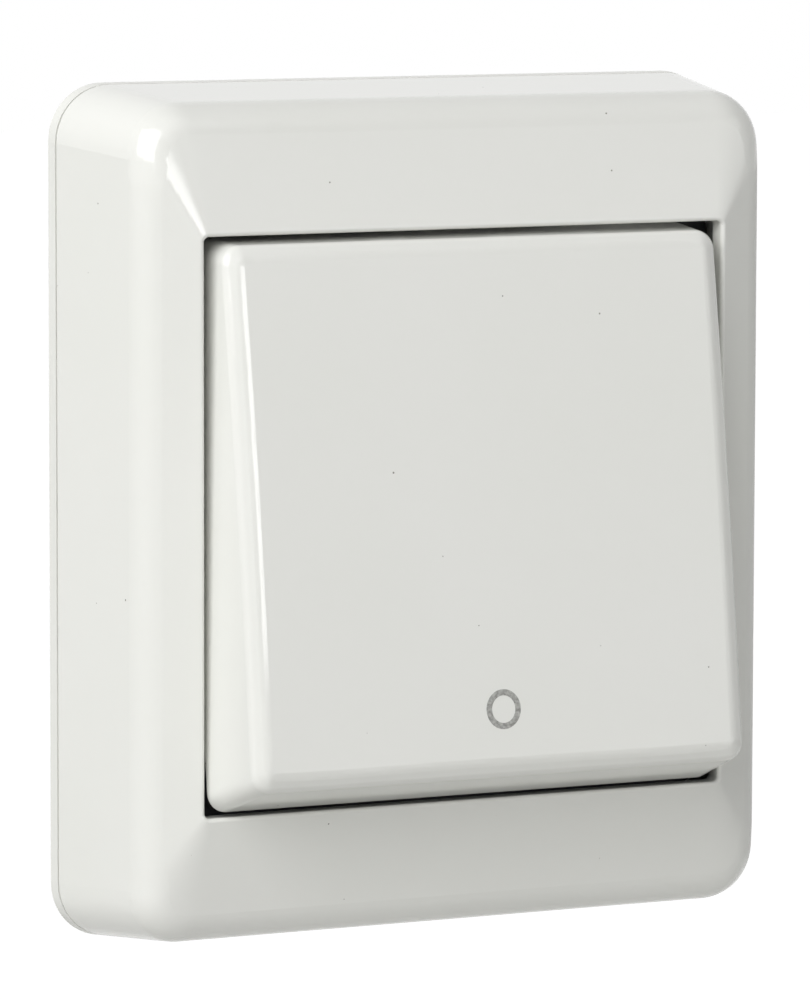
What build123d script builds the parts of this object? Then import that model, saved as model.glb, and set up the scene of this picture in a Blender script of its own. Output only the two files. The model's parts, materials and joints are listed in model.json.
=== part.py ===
"""Surface-mounted two-pole rocker light switch, modelled in millimetres.

The wall is the plane Y = 0 and the switch stands out from it along -Y. X is to the right
and Z is up, and the origin is the middle of the back. The rocker rests with its top
pressed in, which is the off position.
"""

import os
from math import cos, radians, sin, tan

from build123d import *

os.makedirs("parts", exist_ok=True)

# Frame around the rocker: its front stands a little in front of the rocker's pivot
opening_width = 56.5
opening_height = 56.5
opening_corner = 0.5
opening_rise = 5.4
opening_edge_radius = 0.35
side_band = 5.8
end_band = 12.5
band_drop = 2.4
side_draft = 9.4
end_draft = 5.6
outer_corner = 5.3
rear_corner_growth = 0.35
shoulder_radius = 3.8
cover_wall = 2.0

# Base plate
base_thickness = 1.5
seam_gap = 0.25
seam_depth = 0.4
rim_wall = 1.4
rim_height = 3.5
rim_clearance = 0.15
latch_spacing = 36.0
latch_length = 9.0
latch_reach = 0.7
latch_height = 1.2
latch_rise = 1.4
latch_clearance = 0.1
wall_screw_spacing = 60.0
wall_slot_width = 4.4
wall_slot_length = 7.5
cable_entry_diameter = 14.0
cable_entry_across = 17.0
cable_entry_up = 31.0
cable_collar_wall = 1.2
cable_collar_height = 1.5
knockout_groove_width = 1.0
knockout_groove_depth = 0.5
post_diameter = 7.0
post_margin = 5.0

# Rocker movement
rocker_tilt = 7.8
pivot_rise = 2.9
trunnion_radius = 1.6
trunnion_clearance = 0.05
trunnion_end_gap = 0.4

# Key that the finger presses: heights are measured from the pivot, square to the key
key_side_gap = 0.38
key_end_gap = 0.1
key_face_height = 10.95
key_face_radius = 850.0
key_side_draft = 7.0
key_end_draft = 12.0
key_skirt_bottom = 1.2
key_corner = 1.9
key_wall = 1.6
key_shoulder_width = 1.3
key_shoulder_drop = 0.75
key_ridge_radius = 1.8
key_shoulder_radius = 1.0
key_rib_spacing = 37.0
key_rib_thickness = 1.0
key_rib_depth = 1.5

# Carrier that the key clips on to
carrier_plate_bottom = 3.5
carrier_plate_thickness = 2.0
carrier_half_width = 17.0
carrier_half_height = 18.0
carrier_corner = 2.0
cheek_thickness = 2.0
cheek_radius = 2.6
cheek_gap = 0.3
tube_radius = 2.75
tube_bottom = -3.0
tube_roof = 0.9
clip_across = 24.0
clip_along = 28.0
clip_width = 3.0
clip_thickness = 1.6
clip_nib = 0.6
clip_nib_height = 1.2
clip_clearance = 0.15
clip_gap = 0.05
spacer_along = 16.0
spacer_radius = 1.5

# Plungers and their springs
plunger_radius = 1.6
plunger_clearance = 0.08
plunger_nose_radius = 1.0
plunger_top = 0.3
plunger_waist = -4.4
spring_radius = 1.15
spring_wire = 0.2
spring_turns = 3

# Mechanism housing
pole_spacing = 18.0
housing_height = 7.4
housing_side_wall = 3.9
housing_corner = 1.5
chamber_floor_wall = 1.95
chamber_side_gap = 0.6
chamber_end_gap = 0.8
pocket_floor_wall = 1.1
pocket_side_gap = 0.5
pocket_end_gap = 0.4
pocket_inner_wall = 1.0
pocket_end_wall = 1.0
wire_way_diameter = 3.2
wire_way_rise = 2.0

# Contacts
strip_width = 4.0
strip_thickness = 0.5
strip_clearance = 0.1
strip_margin = 0.5
contact_tip_radius = 1.5
fixed_tip_height = 0.5
fixed_tip_dome = 4.0
moving_tip_height = 0.5
closed_gap = 0.05
blade_tilt = 7.0
blade_thickness = 0.8
blade_width = 5.0
blade_half_length = 12.8
blade_end_margin = 0.3
blade_corner = 1.0
wing_overhang = 0.55
wing_length = 2.4
fulcrum_radius = 0.5
fulcrum_gap = 0.02
fulcrum_width = 4.6
ear_thickness = 0.6
ear_gap = 0.35
ear_half_length = 2.2
ear_rise = 1.6
ear_notch_play = 0.3
nose_gap = 0.03

# Terminals
clamp_width = 6.4
clamp_length = 4.6
clamp_head_room = 1.0
clamp_wall = 0.8
screw_radius = 1.4
screw_head_radius = 2.0
screw_head_height = 1.2
screw_clearance = 0.05
screw_tip_gap = 0.1
screw_head_sink = 0.3
screw_slot_width = 0.6
screw_slot_depth = 0.6

# Bearing plate over the mechanism
bearing_side_gap = 1.05
bearing_overlap = 1.25
bearing_corner = 3.0
bearing_thickness = 1.4
bearing_ear_thickness = 3.0
bearing_ear_radius = 2.6
bearing_ear_foot = 5.0
bearing_mouth_width = 2.7
window_side_gap = 0.75
window_end_gap = 0.63
window_corner = 1.0
driver_clearance = 0.4
stop_inner = 15.0
stop_outer = 17.0
stop_width = 6.0
stop_gap = 0.12
fixing_radius = 1.35
fixing_length = 8.0
fixing_head_radius = 2.6
fixing_head_height = 1.5
fixing_clearance = 0.2

# Earth terminal in the wiring space
earth_across = -20.0
earth_up = -31.5
earth_width = 9.0
earth_length = 6.0
earth_height = 6.0
earth_wire_diameter = 3.0
earth_screw_spacing = 4.6

# Depths, spans and angles that follow from the sizes above
housing_top = base_thickness + housing_height
bearing_top = housing_top + bearing_thickness
pivot_depth = bearing_top + pivot_rise
opening_depth = pivot_depth + opening_rise
ridge_depth = opening_depth - band_drop
ridge_width = opening_width + 2 * side_band
ridge_height = opening_height + 2 * end_band
cavity_depth = opening_depth - cover_wall - band_drop * (end_band - cover_wall) / end_band
lean = radians(rocker_tilt)
key_span = opening_width + opening_height
key_skirt = key_face_height - key_skirt_bottom
key_half_width = opening_width / 2 - key_side_gap - key_skirt * tan(radians(key_side_draft))
key_half_height = opening_height / 2 - key_end_gap - key_skirt * tan(radians(key_end_draft))
carrier_plate_top = carrier_plate_bottom + carrier_plate_thickness
bore_radius = plunger_radius + plunger_clearance
bore_roof = carrier_plate_top - tube_roof
cheek_outer = carrier_half_width - 1.5
ear_inner = cheek_outer + cheek_gap
ear_outer = ear_inner + bearing_ear_thickness
bearing_half_width = ridge_width / 2 - cover_wall - bearing_side_gap
bearing_half_height = opening_height / 2 + bearing_overlap
post_spacing = 2 * (bearing_half_width - post_margin)
window_half_width = tube_radius + window_side_gap
window_half_height = tube_radius / cos(lean) - tube_bottom * sin(lean) + window_end_gap
driver_hole_radius = screw_head_radius + driver_clearance
ear_spacing = blade_width + 2 * ear_gap + ear_thickness
wing_span = ear_spacing + ear_thickness + 2 * wing_overhang
chamber_floor = base_thickness + chamber_floor_wall
chamber_half_width = wing_span / 2 + chamber_side_gap
chamber_half_height = blade_half_length + chamber_end_gap
pocket_floor = base_thickness + pocket_floor_wall
pocket_half_width = clamp_width / 2 + pocket_side_gap
pocket_length = clamp_length + 2 * pocket_end_gap
terminal_up = chamber_half_height + pocket_inner_wall + pocket_length / 2
wire_way_depth = pocket_floor + clamp_wall + wire_way_rise
housing_half_width = pole_spacing / 2 + chamber_half_width + housing_side_wall
housing_half_height = terminal_up + pocket_length / 2 + pocket_end_wall
clamp_height = housing_top - pocket_floor - clamp_head_room
strip_top = chamber_floor + strip_thickness
contact_reach = blade_half_length - contact_tip_radius - blade_end_margin
blade_lean = radians(blade_tilt)
fixed_tip_top = strip_top + fixed_tip_height
fixed_tip_up = contact_reach * cos(blade_lean) - moving_tip_height * sin(blade_lean)
blade_drop = contact_reach * sin(blade_lean) + moving_tip_height * cos(blade_lean)
blade_axis_depth = fixed_tip_top + closed_gap + blade_drop
nose_depth = blade_axis_depth + blade_thickness + plunger_nose_radius + nose_gap
nose_reach = pivot_depth - nose_depth
poles = {"left": -pole_spacing / 2, "right": pole_spacing / 2}


def facing(depth):
    """Plane parallel to the wall, looking forwards, at a depth in front of it."""
    return Plane.XZ.offset(depth)


def upright_section(across):
    """Plane across the switch: its x points forwards, its y up and its z to the left."""
    return Plane(origin=(across, 0, 0), x_dir=(0, -1, 0), z_dir=(-1, 0, 0))


def rocker_plane(height, across=0.0):
    """Plane square to the rested rocker, at a height in front of the pivot."""
    forwards = (0, -cos(lean), sin(lean))
    pivot = Plane(origin=(across, -pivot_depth, 0), x_dir=(1, 0, 0), z_dir=forwards)
    return pivot.offset(height)


def rocker_section(across):
    """Plane across the rested rocker: its x is height from the pivot, its y points up."""
    forwards = (0, -cos(lean), sin(lean))
    return Plane(origin=(across, -pivot_depth, 0), x_dir=forwards, z_dir=(-1, 0, 0))


def blade_plane(height):
    """Plane of the rested contact blades, whose lower ends lie nearer the wall."""
    forwards = (0, -cos(blade_lean), -sin(blade_lean))
    pivot = Plane(origin=(0, -blade_axis_depth, 0), x_dir=(1, 0, 0), z_dir=forwards)
    return pivot.offset(height)


def outline(depth, inset=0.0):
    """Width, height and corner radius of the tapered outside at a depth."""
    run = ridge_depth - depth
    width = ridge_width + 2 * run * tan(radians(side_draft)) - 2 * inset
    height = ridge_height + 2 * run * tan(radians(end_draft)) - 2 * inset
    corner = outer_corner + rear_corner_growth * run / ridge_depth - inset
    return width, height, corner


def key_outline(height, inset=0.0):
    """Width, height and corner radius of the key's drafted walls at a height."""
    run = key_face_height - height
    width = 2 * (key_half_width + run * tan(radians(key_side_draft)) - inset)
    tall = 2 * (key_half_height + run * tan(radians(key_end_draft)) - inset)
    return width, tall, max(key_corner - inset, 0.5)


def is_shoulder_edge(edge):
    """Tell whether an edge runs round the key at the foot of its chamfered shoulder."""
    height = rocker_plane(0).to_local_coords(edge.center()).Z
    crown = key_half_height**2 / (2 * key_face_radius)
    foot = key_face_height - key_shoulder_drop
    return foot - crown - 0.3 < height < foot + 0.1 and edge.length > 2 * key_shoulder_width


# Front cover: tapered walls, four sloping bands round the opening, and snap pockets
with BuildPart() as front_cover:
    with BuildSketch(facing(base_thickness)):
        RectangleRounded(*outline(base_thickness))
    with BuildSketch(facing(ridge_depth)):
        RectangleRounded(*outline(ridge_depth))
    loft(ruled=True)
    with BuildSketch(facing(ridge_depth)):
        RectangleRounded(*outline(ridge_depth))
    with BuildSketch(facing(opening_depth)):
        RectangleRounded(opening_width, opening_height, opening_corner)
    loft(ruled=True)
    ridge = front_cover.edges().filter_by_position(Axis.Y, -ridge_depth - 0.01, -ridge_depth + 0.01)
    fillet(ridge, shoulder_radius)
    with BuildSketch(facing(base_thickness)):
        RectangleRounded(*outline(base_thickness, cover_wall))
    with BuildSketch(facing(cavity_depth)):
        RectangleRounded(*outline(cavity_depth, cover_wall))
    loft(ruled=True, mode=Mode.SUBTRACT)
    with BuildSketch(facing(cavity_depth)):
        RectangleRounded(*outline(cavity_depth, cover_wall))
    with BuildSketch(facing(opening_depth - cover_wall)):
        RectangleRounded(opening_width, opening_height, opening_corner)
    loft(ruled=True, mode=Mode.SUBTRACT)
    with BuildSketch(facing(cavity_depth)):
        RectangleRounded(opening_width, opening_height, opening_corner)
    extrude(amount=opening_depth - cavity_depth + 1, mode=Mode.SUBTRACT)
    opening_edge = front_cover.edges().group_by(Axis.Y)[0]
    fillet(opening_edge, opening_edge_radius)
    pocket_base = base_thickness + latch_rise - latch_clearance
    pocket_span = outline(pocket_base, cover_wall)[1] + 2 * (latch_reach - rim_clearance)
    with BuildSketch(facing(pocket_base)):
        with GridLocations(latch_spacing, 0, 2, 1):
            Rectangle(latch_length + 2 * latch_clearance, pocket_span + 2 * latch_clearance)
    extrude(amount=latch_height + 2 * latch_clearance, mode=Mode.SUBTRACT)
front_cover.part.label = "front_cover"
export_step(front_cover.part, "parts/front_cover.step")

# Base plate: the visible rear edge, a locating rim, snap latches, posts and wall openings
with BuildPart() as base_plate:
    with BuildSketch(facing(0)):
        RectangleRounded(*outline(0))
    with BuildSketch(facing(base_thickness - seam_gap)):
        RectangleRounded(*outline(base_thickness - seam_gap))
    loft(ruled=True)
    with BuildSketch(facing(base_thickness - seam_gap)):
        RectangleRounded(*outline(base_thickness, seam_depth))
    extrude(amount=seam_gap)
    rim_top = base_thickness + rim_height
    rim_inset = cover_wall + rim_clearance
    with BuildSketch(facing(base_thickness)):
        RectangleRounded(*outline(base_thickness, rim_inset))
    with BuildSketch(facing(rim_top)):
        RectangleRounded(*outline(rim_top, rim_inset))
    loft(ruled=True)
    latch_base = base_thickness + latch_rise
    latch_span = outline(latch_base, rim_inset)[1] + 2 * latch_reach
    with BuildSketch(facing(latch_base)):
        with GridLocations(latch_spacing, 0, 2, 1):
            Rectangle(latch_length, latch_span)
    extrude(amount=latch_height)
    with BuildSketch(facing(base_thickness)):
        RectangleRounded(*outline(base_thickness, rim_inset + rim_wall))
    with BuildSketch(facing(rim_top)):
        RectangleRounded(*outline(rim_top, rim_inset + rim_wall))
    loft(ruled=True, mode=Mode.SUBTRACT)
    with BuildSketch(facing(base_thickness)):
        with GridLocations(post_spacing, 0, 2, 1):
            Circle(post_diameter / 2)
        with Locations((cable_entry_across, cable_entry_up)):
            Circle(cable_entry_diameter / 2 + cable_collar_wall)
    extrude(amount=cable_collar_height)
    with BuildSketch(facing(base_thickness)):
        with GridLocations(post_spacing, 0, 2, 1):
            Circle(post_diameter / 2)
    extrude(amount=housing_top - base_thickness)
    with BuildSketch(facing(housing_top)):
        with GridLocations(post_spacing, 0, 2, 1):
            Circle(fixing_radius + screw_clearance)
    extrude(amount=-(fixing_length - bearing_thickness + 0.5), mode=Mode.SUBTRACT)
    with BuildSketch(facing(0)):
        with GridLocations(0, wall_screw_spacing, 1, 2):
            SlotOverall(wall_slot_length, wall_slot_width, rotation=90)
        with Locations((cable_entry_across, cable_entry_up)):
            Circle(cable_entry_diameter / 2)
    extrude(amount=base_thickness + cable_collar_height, mode=Mode.SUBTRACT)
    with BuildSketch(facing(0)):
        with Locations((-cable_entry_across, cable_entry_up), (cable_entry_across, -cable_entry_up)):
            Circle(cable_entry_diameter / 2)
            Circle(cable_entry_diameter / 2 - knockout_groove_width, mode=Mode.SUBTRACT)
    extrude(amount=knockout_groove_depth, mode=Mode.SUBTRACT)
base_plate.part.label = "base_plate"
export_step(base_plate.part, "parts/base_plate.step")

# Mechanism housing: two contact chambers, four terminal pockets and their wire ways
with BuildPart() as mechanism_housing:
    with BuildSketch(facing(base_thickness)):
        RectangleRounded(2 * housing_half_width, 2 * housing_half_height, housing_corner)
    extrude(amount=housing_top - base_thickness)
    with BuildSketch(facing(chamber_floor)):
        with GridLocations(pole_spacing, 0, 2, 1):
            Rectangle(2 * chamber_half_width, 2 * chamber_half_height)
    extrude(amount=housing_top - chamber_floor, mode=Mode.SUBTRACT)
    with BuildSketch(facing(pocket_floor)):
        with GridLocations(pole_spacing, 2 * terminal_up, 2, 2):
            Rectangle(2 * pocket_half_width, pocket_length)
    extrude(amount=housing_top - pocket_floor, mode=Mode.SUBTRACT)
    with BuildSketch(facing(chamber_floor)):
        with GridLocations(pole_spacing, 0, 2, 1):
            Rectangle(strip_width + 2 * strip_clearance, 2 * terminal_up)
    extrude(amount=strip_thickness + strip_clearance, mode=Mode.SUBTRACT)
    for end in (-1, 1):
        with BuildSketch(Plane.XY.offset(end * housing_half_height)):
            with Locations((poles["left"], -wire_way_depth), (poles["right"], -wire_way_depth)):
                Circle(wire_way_diameter / 2)
        extrude(amount=-end * (pocket_end_wall + pocket_length / 2), mode=Mode.SUBTRACT)
mechanism_housing.part.label = "mechanism_housing"
export_step(mechanism_housing.part, "parts/mechanism_housing.step")

# Bearing plate: closes the mechanism, holds the rocker's trunnions and stops its swing
stop_run = (stop_outer - carrier_plate_bottom * sin(lean)) / cos(lean)
stop_top = pivot_depth + carrier_plate_bottom * cos(lean) - stop_run * sin(lean) - stop_gap
with BuildPart() as bearing_plate:
    with BuildSketch(facing(housing_top)):
        RectangleRounded(2 * bearing_half_width, 2 * bearing_half_height, bearing_corner)
    extrude(amount=bearing_thickness)
    with BuildSketch(facing(bearing_top)):
        with GridLocations(0, stop_inner + stop_outer, 1, 2):
            Rectangle(stop_width, stop_outer - stop_inner)
    extrude(amount=stop_top - bearing_top)
    for outer_face in (-ear_inner, ear_outer):
        with BuildSketch(upright_section(outer_face)):
            with BuildLine():
                Polyline(
                    (bearing_top, -bearing_ear_foot),
                    (pivot_depth, -bearing_ear_radius),
                    (pivot_depth, bearing_ear_radius),
                    (bearing_top, bearing_ear_foot),
                    close=True,
                )
            make_face()
            with Locations((pivot_depth, 0)):
                Circle(bearing_ear_radius)
        extrude(amount=bearing_ear_thickness)
    with BuildSketch(upright_section(ear_outer)):
        with Locations((pivot_depth, 0)):
            Circle(trunnion_radius + trunnion_clearance)
        with Locations((pivot_depth + bearing_ear_radius / 2, 0)):
            Rectangle(bearing_ear_radius + 1, bearing_mouth_width)
    extrude(amount=2 * ear_outer, mode=Mode.SUBTRACT)
    with BuildSketch(facing(housing_top)):
        with GridLocations(pole_spacing, 0, 2, 1):
            RectangleRounded(2 * window_half_width, 2 * window_half_height, window_corner)
        with GridLocations(pole_spacing, 2 * terminal_up, 2, 2):
            Circle(driver_hole_radius)
        with GridLocations(post_spacing, 0, 2, 1):
            Circle(fixing_radius + fixing_clearance)
    extrude(amount=bearing_thickness, mode=Mode.SUBTRACT)
bearing_plate.part.label = "bearing_plate"
export_step(bearing_plate.part, "parts/bearing_plate.step")

# Rocker carrier: a plate with two spring tubes, two cheeks and their trunnions
with BuildPart() as rocker_carrier:
    with BuildSketch(rocker_plane(carrier_plate_bottom)):
        RectangleRounded(2 * carrier_half_width, 2 * carrier_half_height, carrier_corner)
    extrude(amount=carrier_plate_thickness)
    with BuildSketch(rocker_plane(tube_bottom)):
        with GridLocations(pole_spacing, 0, 2, 1):
            Circle(tube_radius)
    extrude(amount=carrier_plate_bottom - tube_bottom)
    for outer_face in (cheek_thickness - cheek_outer, cheek_outer):
        with BuildSketch(rocker_section(outer_face)):
            Circle(cheek_radius)
            with Locations((carrier_plate_bottom / 2, 0)):
                Rectangle(carrier_plate_bottom, 2 * cheek_radius)
        extrude(amount=cheek_thickness)
    trunnion_end = ear_outer + trunnion_end_gap
    for outer_face in (cheek_thickness - cheek_outer, trunnion_end):
        with BuildSketch(rocker_section(outer_face)):
            Circle(trunnion_radius)
        extrude(amount=trunnion_end - cheek_outer + cheek_thickness)
    with BuildSketch(rocker_plane(tube_bottom)):
        with GridLocations(pole_spacing, 0, 2, 1):
            Circle(bore_radius)
    extrude(amount=bore_roof - tube_bottom, mode=Mode.SUBTRACT)
    with BuildSketch(rocker_plane(carrier_plate_bottom)):
        with GridLocations(clip_across, clip_along + clip_nib, 2, 2):
            Rectangle(
                clip_width + 2 * clip_clearance, clip_thickness + clip_nib + 2 * clip_clearance
            )
    extrude(amount=carrier_plate_thickness, mode=Mode.SUBTRACT)
rocker_carrier.part.label = "rocker_carrier"
export_step(rocker_carrier.part, "parts/rocker_carrier.step")

# Inside of the key, taken out of it below
rocker_forwards = Axis((0, -pivot_depth, 0), rocker_plane(0).z_dir)
face_centre = key_face_height - key_face_radius
key_roof = key_face_height - key_wall
with BuildPart() as key_core:
    with BuildSketch(rocker_plane(key_skirt_bottom)):
        RectangleRounded(*key_outline(key_skirt_bottom, key_wall))
    with BuildSketch(rocker_plane(key_face_height)):
        RectangleRounded(*key_outline(key_face_height, key_wall))
    loft(ruled=True)
    with BuildSketch(rocker_section(key_span / 2)):
        with Locations((face_centre, 0)):
            Circle(key_face_radius - key_wall)
    extrude(amount=key_span, mode=Mode.INTERSECT)

# Rocker key: a crowned face with soft shoulders, hollow, with ribs, spacers and clips
with BuildPart() as rocker_key:
    with BuildSketch(rocker_plane(key_skirt_bottom)):
        RectangleRounded(*key_outline(key_skirt_bottom))
    with BuildSketch(rocker_plane(key_face_height + 1)):
        RectangleRounded(*key_outline(key_face_height + 1))
    loft(ruled=True)
    with BuildSketch(rocker_section(key_span / 2)):
        with Locations((face_centre, 0)):
            Circle(key_face_radius)
    extrude(amount=key_span, mode=Mode.INTERSECT)
    face = rocker_key.faces().sort_by(rocker_forwards)[-1]
    chamfer(face.edges(), key_shoulder_width, key_shoulder_drop, reference=face)
    shoulder_edges = rocker_key.edges().filter_by(is_shoulder_edge)
    fillet(shoulder_edges, key_shoulder_radius)
    face = rocker_key.faces().sort_by(rocker_forwards)[-1]
    fillet(face.edges(), key_ridge_radius)
    add(key_core.part, mode=Mode.SUBTRACT)
    with BuildSketch(rocker_plane(key_roof - key_rib_depth)):
        with GridLocations(key_rib_spacing, 0, 2, 1):
            Rectangle(key_rib_thickness, 2 * key_half_height - 2 * key_wall)
    extrude(amount=key_rib_depth)
    with BuildSketch(rocker_plane(carrier_plate_top)):
        with GridLocations(clip_across, spacer_along, 2, 2):
            Circle(spacer_radius)
    extrude(amount=key_roof - carrier_plate_top)
    with BuildSketch(rocker_plane(carrier_plate_bottom - clip_nib_height)):
        with GridLocations(clip_across, clip_along, 2, 2):
            Rectangle(clip_width, clip_thickness)
    extrude(amount=key_roof - carrier_plate_bottom + clip_nib_height)
    with BuildSketch(rocker_plane(carrier_plate_bottom - clip_nib_height)):
        with GridLocations(clip_across, clip_along + clip_thickness + clip_nib, 2, 2):
            Rectangle(clip_width, clip_nib)
    extrude(amount=clip_nib_height - clip_gap)
rocker_key.part.label = "rocker_key"
export_step(rocker_key.part, "parts/rocker_key.step")

# Plungers: each slides in a tube of the carrier and its round nose pushes a contact blade
for side, across in poles.items():
    with BuildPart() as plunger:
        with BuildSketch(rocker_section(across)):
            with BuildLine():
                Polyline(
                    (plunger_top, 0),
                    (plunger_top, plunger_radius),
                    (plunger_waist, plunger_radius),
                    (-nose_reach, plunger_nose_radius),
                    (-nose_reach, 0),
                    close=True,
                )
            make_face()
        revolve(axis=Axis((across, -pivot_depth, 0), rocker_plane(0).z_dir))
        with Locations(rocker_plane(-nose_reach, across)):
            Sphere(plunger_nose_radius)
    plunger.part.label = f"{side}_plunger"
    export_step(plunger.part, f"parts/{side}_plunger.step")

# Springs between the plungers and the roofs of their tubes
spring_height = bore_roof - plunger_top - 2 * spring_wire
spring_pitch = spring_height / spring_turns
for side, across in poles.items():
    spring_foot = rocker_plane(plunger_top + spring_wire, across)
    with BuildPart() as spring:
        with BuildLine():
            coil = Helix(
                spring_pitch,
                spring_height,
                spring_radius,
                center=spring_foot.origin,
                direction=spring_foot.z_dir,
            )
        with BuildSketch(coil ^ 0):
            Circle(spring_wire)
        sweep(path=coil, is_frenet=True)
    spring.part.label = f"{side}_spring"
    export_step(spring.part, f"parts/{side}_spring.step")

# Contact blades: see-saws that tip over a fulcrum, with wings that locate them
for side, across in poles.items():
    with BuildPart() as blade:
        with BuildSketch(blade_plane(0)):
            with Locations((across, 0)):
                RectangleRounded(blade_width, 2 * blade_half_length, blade_corner)
                Rectangle(wing_span, wing_length)
        extrude(amount=blade_thickness)
    blade.part.label = f"{side}_blade"
    export_step(blade.part, f"parts/{side}_blade.step")

# Moving contact tips under the upper ends of the blades
for side, across in poles.items():
    with BuildPart() as moving_tip:
        with BuildSketch(blade_plane(0)):
            with Locations((across, contact_reach)):
                Circle(contact_tip_radius)
        extrude(amount=-moving_tip_height)
    moving_tip.part.label = f"{side}_moving_tip"
    export_step(moving_tip.part, f"parts/{side}_moving_tip.step")

# Fixed contacts: strips from the upper terminals to below the moving tips
strip_end = terminal_up + clamp_length / 2
fixed_start = fixed_tip_up - contact_tip_radius - strip_margin
for side, across in poles.items():
    with BuildPart() as fixed_contact:
        with BuildSketch(facing(chamber_floor)):
            with Locations((across, (fixed_start + strip_end) / 2)):
                Rectangle(strip_width, strip_end - fixed_start)
        extrude(amount=strip_thickness)
    fixed_contact.part.label = f"{side}_fixed_contact"
    export_step(fixed_contact.part, f"parts/{side}_fixed_contact.step")

# Fixed contact tips, domed so that the tilted moving tips meet them near the middle
for side, across in poles.items():
    with BuildPart() as fixed_tip:
        with BuildSketch(facing(strip_top)):
            with Locations((across, fixed_tip_up)):
                Circle(contact_tip_radius)
        extrude(amount=fixed_tip_height)
        with Locations((across, fixed_tip_dome - fixed_tip_top, fixed_tip_up)):
            Sphere(fixed_tip_dome, mode=Mode.INTERSECT)
    fixed_tip.part.label = f"{side}_fixed_tip"
    export_step(fixed_tip.part, f"parts/{side}_fixed_tip.step")

# Common contacts: strips from the lower terminals, with a fulcrum and two notched ears
fulcrum_top = blade_axis_depth - fulcrum_gap
ear_top = blade_axis_depth + ear_rise
notch_floor = blade_axis_depth - ear_notch_play
for side, across in poles.items():
    with BuildPart() as common_contact:
        with BuildSketch(facing(chamber_floor)):
            with Locations((across, (ear_half_length - strip_end) / 2)):
                Rectangle(strip_width, strip_end + ear_half_length)
            with Locations((across, 0)):
                Rectangle(ear_spacing + ear_thickness, 2 * ear_half_length)
        extrude(amount=strip_thickness)
        with BuildSketch(upright_section(across + fulcrum_width / 2)):
            with Locations((fulcrum_top - fulcrum_radius, 0)):
                Circle(fulcrum_radius)
            with Locations(((strip_top + fulcrum_top - fulcrum_radius) / 2, 0)):
                Rectangle(fulcrum_top - fulcrum_radius - strip_top, 2 * fulcrum_radius)
        extrude(amount=fulcrum_width)
        with BuildSketch(facing(strip_top)):
            with Locations((across, 0)):
                with GridLocations(ear_spacing, 0, 2, 1):
                    Rectangle(ear_thickness, 2 * ear_half_length)
        extrude(amount=ear_top - strip_top)
        with BuildSketch(facing(notch_floor)):
            with Locations((across, 0)):
                with GridLocations(ear_spacing, 0, 2, 1):
                    Rectangle(2 * ear_thickness, wing_length + 2 * ear_notch_play)
        extrude(amount=ear_top - notch_floor, mode=Mode.SUBTRACT)
    common_contact.part.label = f"{side}_common_contact"
    export_step(common_contact.part, f"parts/{side}_common_contact.step")

# Terminal clamps: four cages that pull a wire up against the end of its strip
with BuildPart() as terminal_clamps:
    with BuildSketch(facing(pocket_floor)):
        with GridLocations(pole_spacing, 2 * terminal_up, 2, 2):
            Rectangle(clamp_width, clamp_length)
    extrude(amount=clamp_height)
    with BuildSketch(facing(pocket_floor + clamp_wall)):
        with GridLocations(pole_spacing, 2 * terminal_up, 2, 2):
            Rectangle(clamp_width - 2 * clamp_wall, clamp_length)
    extrude(amount=clamp_height - 2 * clamp_wall, mode=Mode.SUBTRACT)
    with BuildSketch(facing(pocket_floor + clamp_height)):
        with GridLocations(pole_spacing, 2 * terminal_up, 2, 2):
            Circle(screw_radius + screw_clearance)
    extrude(amount=-clamp_wall, mode=Mode.SUBTRACT)
terminal_clamps.part.label = "terminal_clamps"
export_step(terminal_clamps.part, "parts/terminal_clamps.step")

# Terminal screws: four slotted screws, reached through the bearing plate
screw_start = strip_top + screw_tip_gap
head_base = housing_top - screw_head_sink
with BuildPart() as terminal_screws:
    with BuildSketch(facing(screw_start)):
        with GridLocations(pole_spacing, 2 * terminal_up, 2, 2):
            Circle(screw_radius)
    extrude(amount=head_base - screw_start)
    with BuildSketch(facing(head_base)):
        with GridLocations(pole_spacing, 2 * terminal_up, 2, 2):
            Circle(screw_head_radius)
    extrude(amount=screw_head_height)
    with BuildSketch(facing(head_base + screw_head_height)):
        with GridLocations(pole_spacing, 2 * terminal_up, 2, 2):
            Rectangle(2 * screw_head_radius, screw_slot_width)
    extrude(amount=-screw_slot_depth, mode=Mode.SUBTRACT)
terminal_screws.part.label = "terminal_screws"
export_step(terminal_screws.part, "parts/terminal_screws.step")

# Fixing screws: hold the bearing plate and the housing down on the base plate's posts
with BuildPart() as fixing_screws:
    with BuildSketch(facing(bearing_top)):
        with GridLocations(post_spacing, 0, 2, 1):
            Circle(fixing_radius)
    extrude(amount=-fixing_length)
    with BuildSketch(facing(bearing_top)):
        with GridLocations(post_spacing, 0, 2, 1):
            Circle(fixing_head_radius)
    extrude(amount=fixing_head_height)
    with BuildSketch(facing(bearing_top + fixing_head_height)):
        with GridLocations(post_spacing, 0, 2, 1):
            Rectangle(2 * fixing_head_radius, screw_slot_width)
            Rectangle(screw_slot_width, 2 * fixing_head_radius)
    extrude(amount=-screw_slot_depth, mode=Mode.SUBTRACT)
fixing_screws.part.label = "fixing_screws"
export_step(fixing_screws.part, "parts/fixing_screws.step")

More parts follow.
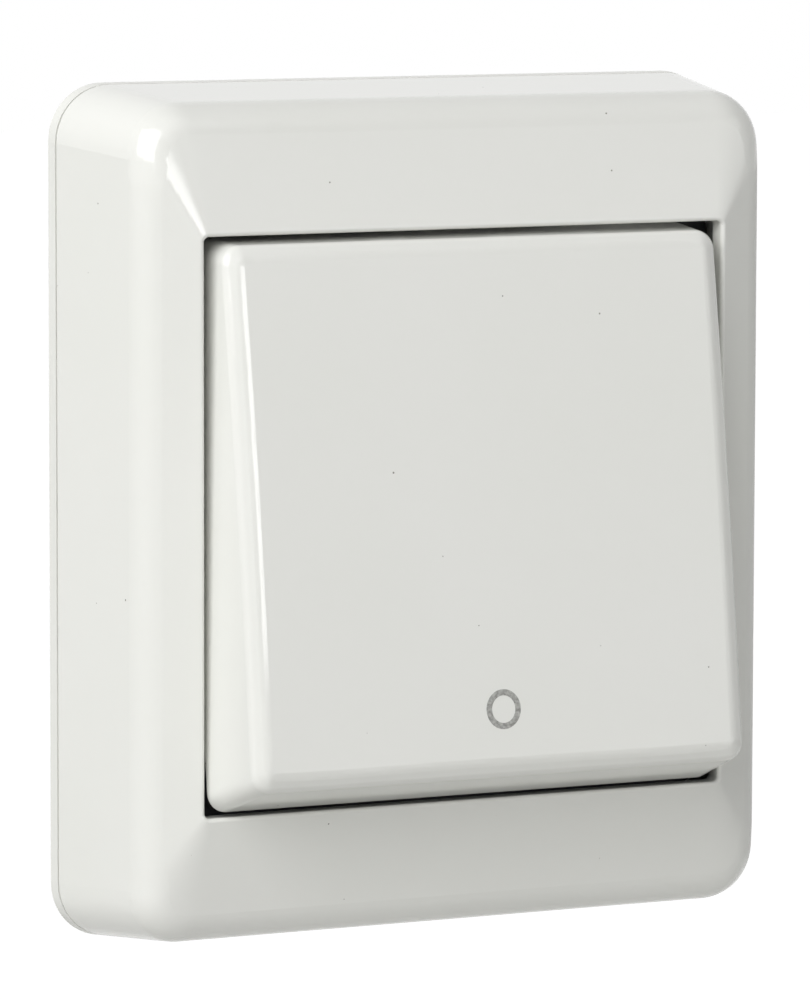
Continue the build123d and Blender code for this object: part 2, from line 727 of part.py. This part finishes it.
# Earth terminal: a brass block with two wire holes and a tapped hole over each
earth_wire_depth = base_thickness + earth_wire_diameter
with BuildPart() as earth_terminal:
    with BuildSketch(facing(base_thickness)):
        with Locations((earth_across, earth_up)):
            Rectangle(earth_width, earth_length)
    extrude(amount=earth_height)
    with BuildSketch(Plane.XY.offset(earth_up - earth_length / 2)):
        with Locations((earth_across, -earth_wire_depth)):
            with GridLocations(earth_screw_spacing, 0, 2, 1):
                Circle(earth_wire_diameter / 2)
    extrude(amount=earth_length, mode=Mode.SUBTRACT)
    with BuildSketch(facing(base_thickness + earth_height)):
        with Locations((earth_across, earth_up)):
            with GridLocations(earth_screw_spacing, 0, 2, 1):
                Circle(screw_radius + screw_clearance)
    extrude(amount=earth_wire_depth - base_thickness - earth_height, mode=Mode.SUBTRACT)
earth_terminal.part.label = "earth_terminal"
export_step(earth_terminal.part, "parts/earth_terminal.step")

# Earth screws: two slotted screws run partly into the block
earth_top = base_thickness + earth_height
with BuildPart() as earth_screws:
    with BuildSketch(facing(earth_wire_depth + screw_tip_gap)):
        with Locations((earth_across, earth_up)):
            with GridLocations(earth_screw_spacing, 0, 2, 1):
                Circle(screw_radius)
    extrude(amount=earth_top - earth_wire_depth)
    with BuildSketch(facing(earth_top + screw_tip_gap)):
        with Locations((earth_across, earth_up)):
            with GridLocations(earth_screw_spacing, 0, 2, 1):
                Circle(screw_head_radius)
    extrude(amount=screw_head_height)
    with BuildSketch(facing(earth_top + screw_tip_gap + screw_head_height)):
        with Locations((earth_across, earth_up)):
            with GridLocations(earth_screw_spacing, 0, 2, 1):
                Rectangle(2 * screw_head_radius, screw_slot_width)
    extrude(amount=-screw_slot_depth, mode=Mode.SUBTRACT)
earth_screws.part.label = "earth_screws"
export_step(earth_screws.part, "parts/earth_screws.step")
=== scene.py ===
"""Looks of the rocker light switch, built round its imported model.

Lengths are in metres. The wall is the plane Y = 0, the switch faces -Y, X is to the
right and Z is up. The rocker rests with its top pressed in.
"""

import json
from math import cos, radians, sin

import bmesh
import bpy
from mathutils import Matrix, Vector


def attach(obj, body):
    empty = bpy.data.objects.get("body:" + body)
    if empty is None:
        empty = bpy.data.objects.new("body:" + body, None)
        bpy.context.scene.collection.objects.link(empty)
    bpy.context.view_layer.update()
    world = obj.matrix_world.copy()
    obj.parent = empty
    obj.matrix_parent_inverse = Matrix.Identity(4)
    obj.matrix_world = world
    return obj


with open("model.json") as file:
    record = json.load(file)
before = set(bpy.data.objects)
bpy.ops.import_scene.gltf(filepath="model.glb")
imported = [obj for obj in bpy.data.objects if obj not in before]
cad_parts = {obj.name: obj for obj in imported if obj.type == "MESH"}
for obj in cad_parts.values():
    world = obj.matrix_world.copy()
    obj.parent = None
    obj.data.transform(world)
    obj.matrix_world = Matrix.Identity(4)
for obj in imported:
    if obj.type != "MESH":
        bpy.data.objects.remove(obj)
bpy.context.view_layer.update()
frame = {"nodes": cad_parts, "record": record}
MM = 0.001

# Place of the key: it tips about an axis along X, in front of the wall
PIVOT_DEPTH = 13.2 * MM
ROCKER_LEAN = radians(7.8)
KEY_FACE_HEIGHT = 10.95 * MM
KEY_FACE_RADIUS = 850 * MM

# Printed off mark, below the middle of the key
MARK_DOWN = 19.78 * MM
MARK_HALF_WIDTH = 1.87 * MM
MARK_HALF_HEIGHT = 1.95 * MM
MARK_LINE = 0.6 * MM
MARK_SIDES = 96
INK_ABOVE = 0.012 * MM
INK_THICKNESS = 0.03 * MM

# Refractive indices of the plastics
IOR_ASA = 1.52
IOR_POLYAMIDE = 1.53
IOR_ACETAL = 1.48
IOR_INK = 1.5

# Dust: its colour, and its smallest grain as a share of its largest
DUST_COLOUR = "#8E8C84"
SMALLEST_GRAIN = 0.3

# Stage: a pale floor well below the switch, which hangs on a wall that isn't shown
FLOOR_BELOW = 0.45
FLOOR_HALF_SIZE = 8.0
LIT_FLOOR_RADIUS = 0.35
WHITE_FLOOR_RADIUS = 0.9
LIT_FLOOR_GLOW = 0.5
FLOOR_IN_REFLECTIONS = 0.5
SOFT_WORLD = 0.02
WHITE_WORLD = 1.0
LAMP_DISTANCE = 1.2

# Camera: measured from the photograph's perspective
CAMERA_PLACE = Vector((-0.28971753, -0.59732638, 0.07404687))
CAMERA_YAW = radians(26.0443)
CAMERA_PITCH = radians(6.3909)
CAMERA_ROLL = radians(0.131)
CAMERA_LENS = 238.622
SENSOR_WIDTH = 36.0
NEAREST_SEEN = 0.01
FURTHEST_SEEN = 50.0


def linear(code):
    """Turn an sRGB hex colour into the linear colour that shaders take."""
    parts = [int(code[i : i + 2], 16) / 255 for i in (1, 3, 5)]
    return [c / 12.92 if c <= 0.04045 else ((c + 0.055) / 1.055) ** 2.4 for c in parts] + [1.0]


def put(tree, kind, values=None, **settings):
    """Add a shader node with its own settings, and its sockets' values or links.

    A value is a number, a vector, a hex colour, another node's socket, or another node,
    which stands for its first output in use.
    """
    node = tree.nodes.new("ShaderNode" + kind)
    for name, setting in settings.items():
        setattr(node, name, setting)
    for socket, value in (values or {}).items():
        if isinstance(value, str):
            value = linear(value)
        if isinstance(value, bpy.types.Node):
            value = next(output for output in value.outputs if output.enabled)
        if isinstance(value, bpy.types.NodeSocket):
            tree.links.new(value, node.inputs[socket])
        else:
            node.inputs[socket].default_value = value
    return node


def every(millimetres):
    """Scale of a pattern that repeats about every so many millimetres."""
    return 1.0 / (millimetres * MM)


def finish(name, dress):
    """Make a material whose surface is the shader that dress returns."""
    material = bpy.data.materials.new(name)
    material.use_nodes = True
    tree = material.node_tree
    tree.nodes.clear()
    place = put(tree, "TexCoord").outputs["Object"]
    put(tree, "OutputMaterial", {"Surface": dress(tree, place)})
    return material


def dust_specks(tree, place, apart, radius):
    """1 on sparse dust grains, which differ in size, and 0 elsewhere."""
    cells = put(tree, "TexVoronoi", {"Vector": place, "Scale": every(apart)})
    own = put(tree, "SeparateColor", {"Color": cells.outputs["Color"]})
    largest = radius / apart
    reach = put(
        tree,
        "MapRange",
        {"Value": own.outputs["Red"], "To Min": SMALLEST_GRAIN * largest, "To Max": largest},
    )
    return put(tree, "Math", {0: cells.outputs["Distance"], 1: reach}, operation="LESS_THAN")


# ASA from a mould polished by hand: warm white with high gloss, a slow drift of shade where
# the melt flowed, a ripple of polishing 2.4 mm apart that only bends reflections, and dust
def polished_asa(tree, place):
    drift = put(tree, "TexNoise", {"Vector": place, "Scale": every(22.0)})
    clean = put(tree, "Mix", {"Factor": drift, "A": "#EEEEEA", "B": "#EAEBE5"}, data_type="RGBA")
    specks = dust_specks(tree, place, 3.4, 0.11)
    shade = put(tree, "Mix", {"Factor": specks, "A": clean, "B": DUST_COLOUR}, data_type="RGBA")
    wear = put(tree, "TexNoise", {"Vector": place, "Scale": every(5.5), "Detail": 3.0})
    gloss = put(tree, "MapRange", {"Value": wear, "To Min": 0.07, "To Max": 0.11})
    ripple = put(tree, "TexNoise", {"Vector": place, "Scale": every(2.4)})
    bent = put(tree, "Bump", {"Height": ripple, "Distance": 0.0012 * MM})
    return put(
        tree,
        "BsdfPrincipled",
        {"Base Color": shade, "Roughness": gloss, "Normal": bent, "IOR": IOR_ASA},
    )


# The same ASA from a mould left satin: softer gloss, fine tool grain of 0.25 mm, and dust
def satin_asa(tree, place):
    drift = put(tree, "TexNoise", {"Vector": place, "Scale": every(16.0)})
    clean = put(tree, "Mix", {"Factor": drift, "A": "#EBEBE7", "B": "#E5E6E0"}, data_type="RGBA")
    specks = dust_specks(tree, place, 4.1, 0.1)
    shade = put(tree, "Mix", {"Factor": specks, "A": clean, "B": DUST_COLOUR}, data_type="RGBA")
    wear = put(tree, "TexNoise", {"Vector": place, "Scale": every(4.0), "Detail": 3.0})
    gloss = put(tree, "MapRange", {"Value": wear, "To Min": 0.3, "To Max": 0.38})
    grain = put(tree, "TexNoise", {"Vector": place, "Scale": every(0.25)})
    bent = put(tree, "Bump", {"Height": grain, "Distance": 0.002 * MM})
    return put(
        tree,
        "BsdfPrincipled",
        {"Base Color": shade, "Roughness": gloss, "Normal": bent, "IOR": IOR_ASA},
    )


# Polyamide filled with glass fibre, spark-eroded mould: dark grey, matt, with paler streaks
# 3 mm wide where fibres lie at the surface, and a pitted grain drawn at 0.2 mm
def glass_filled_polyamide(tree, place):
    drawn_out = put(tree, "Mapping", {"Vector": place, "Scale": (1.0, 1.0, 0.25)})
    fibres = put(tree, "TexNoise", {"Vector": drawn_out, "Scale": every(3.0), "Detail": 4.0})
    paler = put(tree, "MapRange", {"Value": fibres, "From Min": 0.45, "From Max": 0.75})
    shade = put(tree, "Mix", {"Factor": paler, "A": "#3A3B3C", "B": "#56575A"}, data_type="RGBA")
    gloss = put(tree, "MapRange", {"Value": fibres, "To Min": 0.5, "To Max": 0.66})
    pits = put(tree, "TexNoise", {"Vector": place, "Scale": every(0.2), "Detail": 3.0})
    bent = put(tree, "Bump", {"Height": pits, "Distance": 0.012 * MM})
    return put(
        tree,
        "BsdfPrincipled",
        {"Base Color": shade, "Roughness": gloss, "Normal": bent, "IOR": IOR_POLYAMIDE},
    )


# Natural polyamide, spark-eroded mould: milky grey-white, yellower where it has taken up
# water, with a pitted grain of 0.3 mm
def natural_polyamide(tree, place):
    damp = put(tree, "TexNoise", {"Vector": place, "Scale": every(9.0), "Detail": 3.0})
    shade = put(tree, "Mix", {"Factor": damp, "A": "#DCD9CC", "B": "#CFC9B4"}, data_type="RGBA")
    wear = put(tree, "TexNoise", {"Vector": place, "Scale": every(1.5)})
    gloss = put(tree, "MapRange", {"Value": wear, "To Min": 0.38, "To Max": 0.5})
    pits = put(tree, "TexNoise", {"Vector": place, "Scale": every(0.3), "Detail": 3.0})
    bent = put(tree, "Bump", {"Height": pits, "Distance": 0.006 * MM})
    return put(
        tree,
        "BsdfPrincipled",
        {"Base Color": shade, "Roughness": gloss, "Normal": bent, "IOR": IOR_POLYAMIDE},
    )


# Natural acetal from a turned mould: waxy white with a soft sheen, and rings of the tool
# 2 mm apart, since a wave's bands lie 0.314 of its scale apart
def natural_acetal(tree, place):
    drift = put(tree, "TexNoise", {"Vector": place, "Scale": every(4.0)})
    shade = put(tree, "Mix", {"Factor": drift, "A": "#EFEDE2", "B": "#E4DFCC"}, data_type="RGBA")
    wear = put(tree, "TexNoise", {"Vector": place, "Scale": every(0.8)})
    gloss = put(tree, "MapRange", {"Value": wear, "To Min": 0.28, "To Max": 0.38})
    rings = put(
        tree,
        "TexWave",
        {"Vector": place, "Scale": every(6.3), "Distortion": 0.4},
        bands_direction="Y",
    )
    bent = put(tree, "Bump", {"Height": rings.outputs["Fac"], "Distance": 0.002 * MM})
    return put(
        tree,
        "BsdfPrincipled",
        {"Base Color": shade, "Roughness": gloss, "Normal": bent, "IOR": IOR_ACETAL},
    )


# Spring wire, cold drawn: bright grey steel with dull drawing marks and brownish oil film
def drawn_spring_wire(tree, place):
    oil = put(tree, "TexNoise", {"Vector": place, "Scale": every(0.9), "Detail": 3.0})
    film = put(tree, "MapRange", {"Value": oil, "From Min": 0.45, "From Max": 0.8, "To Max": 0.6})
    shade = put(tree, "Mix", {"Factor": film, "A": "#A9ABAE", "B": "#8A8175"}, data_type="RGBA")
    marks = put(tree, "TexNoise", {"Vector": place, "Scale": every(0.12), "Detail": 3.0})
    gloss = put(tree, "MapRange", {"Value": marks, "To Min": 0.24, "To Max": 0.4})
    bent = put(tree, "Bump", {"Height": marks, "Distance": 0.003 * MM})
    return put(
        tree,
        "BsdfPrincipled",
        {"Base Color": shade, "Metallic": 1.0, "Roughness": gloss, "Normal": bent},
    )


# Brass strip, rolled and stamped: yellow metal, rolling lines along Z 0.15 mm apart,
# and a browner bloom in patches of 3 mm where it was handled
def rolled_brass(tree, place):
    touched = put(tree, "TexNoise", {"Vector": place, "Scale": every(3.0), "Detail": 3.0})
    bloom = put(
        tree,
        "MapRange",
        {"Value": touched, "From Min": 0.42, "From Max": 0.75, "To Max": 0.7},
    )
    shade = put(tree, "Mix", {"Factor": bloom, "A": "#DDBE78", "B": "#A98449"}, data_type="RGBA")
    drawn_out = put(tree, "Mapping", {"Vector": place, "Scale": (1.0, 1.0, 0.04)})
    lines = put(tree, "TexNoise", {"Vector": drawn_out, "Scale": every(0.15)})
    gloss = put(tree, "MapRange", {"Value": lines, "To Min": 0.2, "To Max": 0.34})
    bent = put(tree, "Bump", {"Height": lines, "Distance": 0.002 * MM})
    return put(
        tree,
        "BsdfPrincipled",
        {"Base Color": shade, "Metallic": 1.0, "Roughness": gloss, "Normal": bent},
    )


# Silver contact, headed cold: pale metal with a yellow-grey sulphide bloom 0.7 mm across
def headed_silver(tree, place):
    sulphide = put(tree, "TexNoise", {"Vector": place, "Scale": every(0.7), "Detail": 3.0})
    bloom = put(
        tree,
        "MapRange",
        {"Value": sulphide, "From Min": 0.4, "From Max": 0.72, "To Max": 0.8},
    )
    shade = put(tree, "Mix", {"Factor": bloom, "A": "#E9E7E1", "B": "#B5AC98"}, data_type="RGBA")
    gloss = put(tree, "MapRange", {"Value": bloom, "From Max": 0.8, "To Min": 0.18, "To Max": 0.4})
    grain = put(tree, "TexNoise", {"Vector": place, "Scale": every(0.15)})
    bent = put(tree, "Bump", {"Height": grain, "Distance": 0.002 * MM})
    return put(
        tree,
        "BsdfPrincipled",
        {"Base Color": shade, "Metallic": 1.0, "Roughness": gloss, "Normal": bent},
    )


# Steel, zinc plated in a barrel: bluish grey with paler knocks, and a crystal grain of 0.2 mm
def barrel_plated_zinc(tree, place):
    tumbled = put(tree, "TexNoise", {"Vector": place, "Scale": every(1.8), "Detail": 3.0})
    knocks = put(tree, "MapRange", {"Value": tumbled, "From Min": 0.4, "From Max": 0.7})
    shade = put(tree, "Mix", {"Factor": knocks, "A": "#B3B8BE", "B": "#CFCFC8"}, data_type="RGBA")
    grain = put(tree, "TexNoise", {"Vector": place, "Scale": every(0.2), "Detail": 3.0})
    gloss = put(tree, "MapRange", {"Value": grain, "To Min": 0.26, "To Max": 0.42})
    bent = put(tree, "Bump", {"Height": grain, "Distance": 0.003 * MM})
    return put(
        tree,
        "BsdfPrincipled",
        {"Base Color": shade, "Metallic": 1.0, "Roughness": gloss, "Normal": bent},
    )


# Ink, pad printed: mid grey that covers unevenly in flecks of 0.3 mm, on a dull thin film
def pad_printed_ink(tree, place):
    cover = put(tree, "TexNoise", {"Vector": place, "Scale": every(0.3), "Detail": 3.0})
    flecks = put(tree, "MapRange", {"Value": cover, "From Min": 0.35, "From Max": 0.68})
    shade = put(tree, "Mix", {"Factor": flecks, "A": "#8B8B87", "B": "#B9B9B5"}, data_type="RGBA")
    gloss = put(tree, "MapRange", {"Value": flecks, "To Min": 0.5, "To Max": 0.36})
    bent = put(tree, "Bump", {"Height": flecks, "Distance": 0.004 * MM})
    return put(
        tree,
        "BsdfPrincipled",
        {"Base Color": shade, "Roughness": gloss, "Normal": bent, "IOR": IOR_INK},
    )


# Floor paint: the lamps light and shade it close to the switch, and further out it fades
# into the white studio. From below it is clear, so that it never hides the switch
def pale_floor(tree, place):
    seen = put(tree, "LightPath")
    mirrored = put(
        tree,
        "MapRange",
        {"Value": seen.outputs["Is Glossy Ray"], "To Max": FLOOR_IN_REFLECTIONS},
    )
    shown = put(
        tree,
        "Math",
        {0: seen.outputs["Is Camera Ray"], 1: mirrored},
        operation="ADD",
        use_clamp=True,
    )
    flat = put(tree, "VectorMath", {0: place, 1: (1.0, 1.0, 0.0)}, operation="MULTIPLY")
    out = put(tree, "VectorMath", {0: flat.outputs["Vector"]}, operation="LENGTH")
    fade = put(
        tree,
        "MapRange",
        {
            "Value": out.outputs["Value"],
            "From Min": LIT_FLOOR_RADIUS,
            "From Max": WHITE_FLOOR_RADIUS,
            "To Min": LIT_FLOOR_GLOW,
            "To Max": 1.0,
        },
    )
    strength = put(tree, "Math", {0: shown, 1: fade}, operation="MULTIPLY")
    mottle = put(tree, "TexNoise", {"Vector": place, "Scale": every(60.0)})
    shade = put(tree, "Mix", {"Factor": mottle, "A": "#D9D9D7", "B": "#D4D4D2"}, data_type="RGBA")
    matt = put(tree, "BsdfDiffuse", {"Color": shade})
    glow = put(tree, "Emission", {"Color": "#FFFFFF", "Strength": strength})
    lit = put(tree, "AddShader", {0: matt, 1: glow})
    clear = put(tree, "BsdfTransparent")
    side = put(tree, "NewGeometry").outputs["Backfacing"]
    return put(tree, "MixShader", {0: side, 1: lit, 2: clear})


polished = finish("polished_moulded_asa", polished_asa)
finish_of_slot = {
    "cover_plastic": polished,
    "key_plastic": polished,
    "base_plastic": finish("satin_moulded_asa", satin_asa),
    "carrier_plastic": finish("natural_moulded_polyamide", natural_polyamide),
    "mechanism_plastic": finish("glass_filled_moulded_polyamide", glass_filled_polyamide),
    "plunger_plastic": finish("natural_moulded_acetal", natural_acetal),
    "spring_steel": finish("drawn_spring_wire", drawn_spring_wire),
    "contact_brass": finish("rolled_stamped_brass", rolled_brass),
    "contact_silver": finish("cold_headed_silver", headed_silver),
    "plated_steel": finish("barrel_plated_zinc_steel", barrel_plated_zinc),
}
for subpart in frame["record"]["subparts"]:
    solid = frame["nodes"][subpart["node"]]
    solid.data.materials.clear()
    solid.data.materials.append(finish_of_slot[subpart["material_slot"]])


def new_piece(name, shape, material):
    """Turn a finished bmesh into an object at the origin."""
    mesh = bpy.data.meshes.new(name)
    shape.to_mesh(mesh)
    shape.free()
    mesh.materials.append(material)
    piece = bpy.data.objects.new(name, mesh)
    bpy.context.scene.collection.objects.link(piece)
    return piece


def off_mark():
    """Ring of ink on the key's crowned face: the sign for off."""
    ring = bmesh.new()
    bmesh.ops.create_circle(ring, cap_ends=True, segments=MARK_SIDES, radius=1.0)
    bmesh.ops.scale(ring, verts=ring.verts, vec=(MARK_HALF_WIDTH, MARK_HALF_HEIGHT, 1.0))
    middle = ring.faces[:]
    bmesh.ops.inset_region(
        ring,
        faces=middle,
        thickness=MARK_LINE,
        use_boundary=True,
        use_even_offset=True,
    )
    bmesh.ops.delete(ring, geom=middle, context="FACES")
    bmesh.ops.solidify(ring, geom=ring.faces[:], thickness=INK_THICKNESS)
    bmesh.ops.recalc_face_normals(ring, faces=ring.faces)
    highest = max(vert.co.z for vert in ring.verts)
    bmesh.ops.translate(ring, verts=ring.verts, vec=(0, 0, INK_ABOVE - highest))
    # The face falls away from its middle on a large radius, and leans with the rocker
    outward = Vector((0, -cos(ROCKER_LEAN), sin(ROCKER_LEAN)))
    downward = Vector((0, -sin(ROCKER_LEAN), -cos(ROCKER_LEAN)))
    fall = MARK_DOWN**2 / (2 * KEY_FACE_RADIUS)
    bend = MARK_DOWN / KEY_FACE_RADIUS
    pivot = Vector((0, -PIVOT_DEPTH, 0))
    mark_place = pivot + outward * (KEY_FACE_HEIGHT - fall) + downward * MARK_DOWN
    normal = (outward * cos(bend) + downward * sin(bend)).normalized()
    across = Vector((1, 0, 0))
    turn = Matrix((across, normal.cross(across), normal)).transposed()
    placing = Matrix.Translation(mark_place) @ turn.to_4x4()
    bmesh.ops.transform(ring, matrix=placing, verts=ring.verts)
    piece = new_piece("off_mark", ring, finish("pad_printed_ink", pad_printed_ink))
    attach(piece, "rocker")


off_mark()

ground = bmesh.new()
bmesh.ops.create_grid(ground, x_segments=1, y_segments=1, size=FLOOR_HALF_SIZE)
bmesh.ops.translate(ground, verts=ground.verts, vec=(0, 0, -FLOOR_BELOW))
new_piece("floor", ground, finish("pale_floor_paint", pale_floor))

# World: faint soft light all round, and white where the camera or a reflection sees it
world = bpy.data.worlds.new("studio")
bpy.context.scene.world = world
world.use_nodes = True
sky = world.node_tree
sky.nodes.clear()
path = put(sky, "LightPath")
shown = put(
    sky,
    "Math",
    {0: path.outputs["Is Camera Ray"], 1: path.outputs["Is Glossy Ray"]},
    operation="ADD",
    use_clamp=True,
)
soft = put(sky, "Background", {"Color": "#FFFFFF", "Strength": SOFT_WORLD})
white = put(sky, "Background", {"Color": "#FFFFFF", "Strength": WHITE_WORLD})
choice = put(sky, "MixShader", {0: shown, 1: soft, 2: white})
put(sky, "OutputWorld", {"Surface": choice})


def softbox(name, bearing, height, size, power, mirrored=True):
    """Hang an area light that faces the switch, and say whether reflections show it.

    Its bearing from the front and its height are in degrees, and its power is in watts.
    """
    lamp = bpy.data.lights.new(name, "AREA")
    lamp.shape = "RECTANGLE"
    lamp.size, lamp.size_y = size
    lamp.energy = power
    around, above = radians(bearing), radians(height)
    away = Vector((sin(around) * cos(above), -cos(around) * cos(above), sin(above)))
    holder = bpy.data.objects.new(name, lamp)
    facing = (-away).to_track_quat("-Z", "Y").to_matrix().to_4x4()
    holder.matrix_world = Matrix.Translation(away * LAMP_DISTANCE) @ facing
    holder.visible_glossy = mirrored
    bpy.context.scene.collection.objects.link(holder)


# Lamps, as the highlights show them: a wide one high on the left, a small one in front,
# weak ones above and to the right, and two that only light the sides the photograph hides
softbox("left_window", -65.0, 32.0, (1.3, 0.95), 16.5)
softbox("front_lamp", 4.0, 10.0, (0.38, 0.22), 1.5)
softbox("upper_fill", 5.0, 55.0, (0.9, 0.9), 1.1)
softbox("right_fill", 37.0, 6.0, (0.9, 0.9), 2.1)
softbox("far_side_fill", 118.0, 5.0, (0.6, 0.9), 4.0, mirrored=False)
softbox("rear_fill", 190.0, 20.0, (0.9, 0.9), 7.0, mirrored=False)

# Camera
eye = bpy.data.cameras.new("camera")
eye.lens = CAMERA_LENS
eye.sensor_width = SENSOR_WIDTH
eye.clip_start = NEAREST_SEEN
eye.clip_end = FURTHEST_SEEN
camera = bpy.data.objects.new("camera", eye)
ahead = Vector(
    (
        sin(CAMERA_YAW) * cos(CAMERA_PITCH),
        cos(CAMERA_YAW) * cos(CAMERA_PITCH),
        -sin(CAMERA_PITCH),
    )
)
level = Vector((cos(CAMERA_YAW), -sin(CAMERA_YAW), 0))
upward = level.cross(ahead)
rightward = level * cos(CAMERA_ROLL) + upward * sin(CAMERA_ROLL)
upward = upward * cos(CAMERA_ROLL) - level * sin(CAMERA_ROLL)
turn = Matrix((rightward, upward, -ahead)).transposed()
camera.matrix_world = Matrix.Translation(CAMERA_PLACE) @ turn.to_4x4()
bpy.context.scene.collection.objects.link(camera)
bpy.context.scene.camera = camera

bpy.context.scene.view_settings.view_transform = "Standard"
